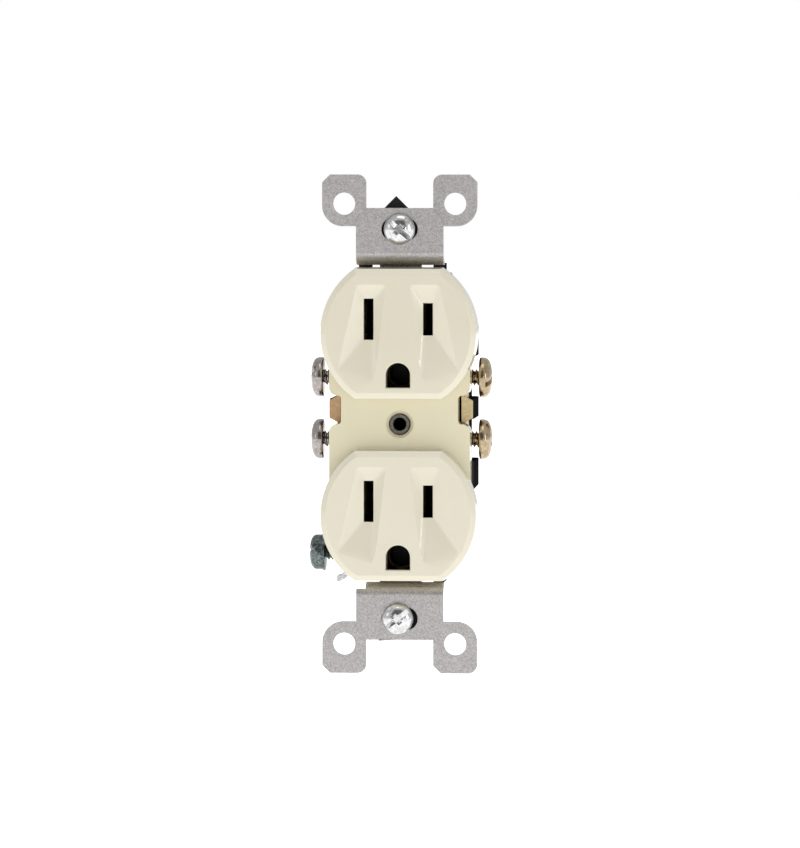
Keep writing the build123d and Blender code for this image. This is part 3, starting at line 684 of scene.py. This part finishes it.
def buildGroundScrewDetail(node):
    s = groundScrew
    low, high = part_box(node)
    centreY = (low[1] + high[1]) / 2
    centreZ = (low[2] + high[2]) / 2
    r, t = s["washerRadius"], s["headThick"]
    head = lathe([(0, 0), (s["shankRadius"], 0), (r - 0.3 * mm, 0), (r - 0.05 * mm, 0.08 * mm), (r, 0.3 * mm),
                  (r - 0.15 * mm, 0.72 * mm), (s["crownRadius"] - 0.1 * mm, s["washerThick"]),
                  (0, s["washerThick"])], 56)
    hexBm = bmesh.new()
    bmesh.ops.create_cone(hexBm, cap_ends=True, cap_tris=False, segments=6, radius1=s["hexRadius"],
                          radius2=s["hexRadius"], depth=t - 0.6 * mm)
    bmesh.ops.translate(hexBm, vec=(0, 0, (t + 0.6 * mm) / 2), verts=hexBm.verts)
    # worn corners: a domed round cuts the hexagon down
    crown, rise = s["crownRadius"], s["crownRise"]
    dome = [(0, 0.2 * mm), (crown, 0.2 * mm), (crown, t - rise)]
    for i in range(1, 8):
        a = i / 7 * math.pi / 2
        dome.append((crown * math.cos(a) ** 0.6, t - rise + rise * math.sin(a)))
    dome[-1] = (0, t)
    hexBm = cutWith(hexBm, [lathe(dome, 48)], "INTERSECT")
    hexBm = cutWith(hexBm, [boxBm((s["slotWidth"], 4 * r, 2 * s["slotDepth"]), (0, 0, t), math.radians(20))])
    softenEdges(hexBm, 45, 0.14 * mm)
    joinInto(head, hexBm)
    addShank(head, s, s["length"], 0.1 * mm)
    place = Matrix.Translation((low[0] + t, centreY, centreZ)) @ Matrix.Rotation(-math.pi / 2, 4, "Y")
    obj = toObject(head, node + "_detail", place)
    assign(obj, groundZinc)
    return obj


print("ground screw")
screw = buildGroundScrewDetail("ground_screw")
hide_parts("ground_screw")
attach(screw, "ground_screw_body")


stageSettings = {
    "floorDrop": 18 * mm,
    "floorSize": 6.0,
    "cameraAzimuth": 4.5,
    "cameraElevation": 2.5,
    "cameraDistance": 1.6,
    "frameHeight": 0.1814,  # height of the view at the object
    "rightPower": 1.3,
    "glintPower": 0.16,
    "leftPower": 0.45,
    "topPower": 1.3,
    "worldGlow": 0.66,
    "floorGlow": 0.84,
    "darkPanel": 2.2,
    "panelPlace": (0, -2.3, 1.0),
    "sensorHeight": 24.0,
}


def buildStage():
    s = stageSettings
    low, high = cadBox
    bm = bmesh.new()
    bmesh.ops.create_grid(bm, x_segments=1, y_segments=1, size=s["floorSize"] / 2)
    floor = toObject(bm, "floor", Matrix.Translation((0, 0, low[2] - s["floorDrop"])))
    mat, tree, shader = newMaterial("paleFloor")
    noise = addNode(tree, "ShaderNodeTexNoise", Scale=3.0)
    tree.links.new(rampTwo(tree, noise.outputs["Fac"], (0.78, 0.78, 0.78, 1), (0.8, 0.8, 0.8, 1)),
                   shader.inputs["Base Color"])
    shader.inputs["Roughness"].default_value = 0.9
    shader.inputs["Emission Color"].default_value = (1, 1, 1, 1)
    path = tree.nodes.new("ShaderNodeLightPath")
    glow = rangeMap(tree, path.outputs["Is Camera Ray"], s["floorGlow"], 1.0, 0.0, 1.0)
    tree.links.new(glow, shader.inputs["Emission Strength"])
    assign(floor, mat)
    # a dark panel far in front, so that metal facing forward has something to mirror
    bm = bmesh.new()
    bmesh.ops.create_grid(bm, x_segments=1, y_segments=1, size=s["darkPanel"] / 2)
    panel = toObject(bm, "darkPanel", Matrix.Translation(s["panelPlace"]) @ Matrix.Rotation(math.pi / 2, 4, "X"))
    dark, darkTree, darkShader = newMaterial("darkCloth")
    weave = addNode(darkTree, "ShaderNodeTexNoise", Scale=40.0)
    darkTree.links.new(rampTwo(darkTree, weave.outputs["Fac"], (0.14, 0.14, 0.14, 1), (0.18, 0.18, 0.18, 1)),
                       darkShader.inputs["Base Color"])
    darkShader.inputs["Roughness"].default_value = 1.0
    assign(panel, dark)
    world = bpy.data.worlds.new("studio")
    bpy.context.scene.world = world
    world.use_nodes = True
    tree = world.node_tree
    tree.nodes.clear()
    out = tree.nodes.new("ShaderNodeOutputWorld")
    glow = addNode(tree, "ShaderNodeBackground", Color=(1, 1, 1, 1), Strength=s["worldGlow"])
    plain = addNode(tree, "ShaderNodeBackground", Color=(1, 1, 1, 1), Strength=1.0)
    path = tree.nodes.new("ShaderNodeLightPath")
    mix = tree.nodes.new("ShaderNodeMixShader")
    tree.links.new(path.outputs["Is Camera Ray"], mix.inputs["Fac"])
    tree.links.new(glow.outputs[0], mix.inputs[1])
    tree.links.new(plain.outputs[0], mix.inputs[2])
    tree.links.new(mix.outputs[0], out.inputs["Surface"])


def areaLight(name, place, size, power):
    # a rectangle of light aimed at the origin
    data = bpy.data.lights.new(name, "AREA")
    data.shape = "RECTANGLE"
    data.size, data.size_y = size
    data.energy = power
    obj = bpy.data.objects.new(name, data)
    bpy.context.scene.collection.objects.link(obj)
    obj.location = place
    obj.rotation_euler = (Vector((0, 0, 0)) - Vector(place)).to_track_quat("-Z", "Y").to_euler()


def buildLights():
    s = stageSettings
    areaLight("rightLight", (0.95, -0.85, 0.2), (0.16, 0.5), s["rightPower"])
    areaLight("leftLight", (-1.1, -0.8, 0.35), (0.35, 0.35), s["leftPower"])
    areaLight("glintLight", (0.46, -1.13, 0.1), (0.06, 0.06), s["glintPower"])
    areaLight("topLight", (0.1, -0.35, 1.1), (0.6, 0.5), s["topPower"])


def buildCamera():
    s = stageSettings
    data = bpy.data.cameras.new("viewCamera")
    cam = bpy.data.objects.new("viewCamera", data)
    bpy.context.scene.collection.objects.link(cam)
    a = math.radians(s["cameraAzimuth"])
    e = math.radians(s["cameraElevation"])
    back = Vector((math.sin(a) * math.cos(e), -math.cos(a) * math.cos(e), math.sin(e)))
    cam.location = back * s["cameraDistance"]
    cam.rotation_euler = (-back).to_track_quat("-Z", "Y").to_euler()
    data.sensor_fit = "VERTICAL"
    data.sensor_height = s["sensorHeight"]
    data.lens = s["sensorHeight"] * s["cameraDistance"] / s["frameHeight"]
    data.clip_end = 20.0
    bpy.context.scene.camera = cam


print("stage")
buildStage()
buildLights()
buildCamera()
bpy.context.scene.view_settings.view_transform = "Standard"
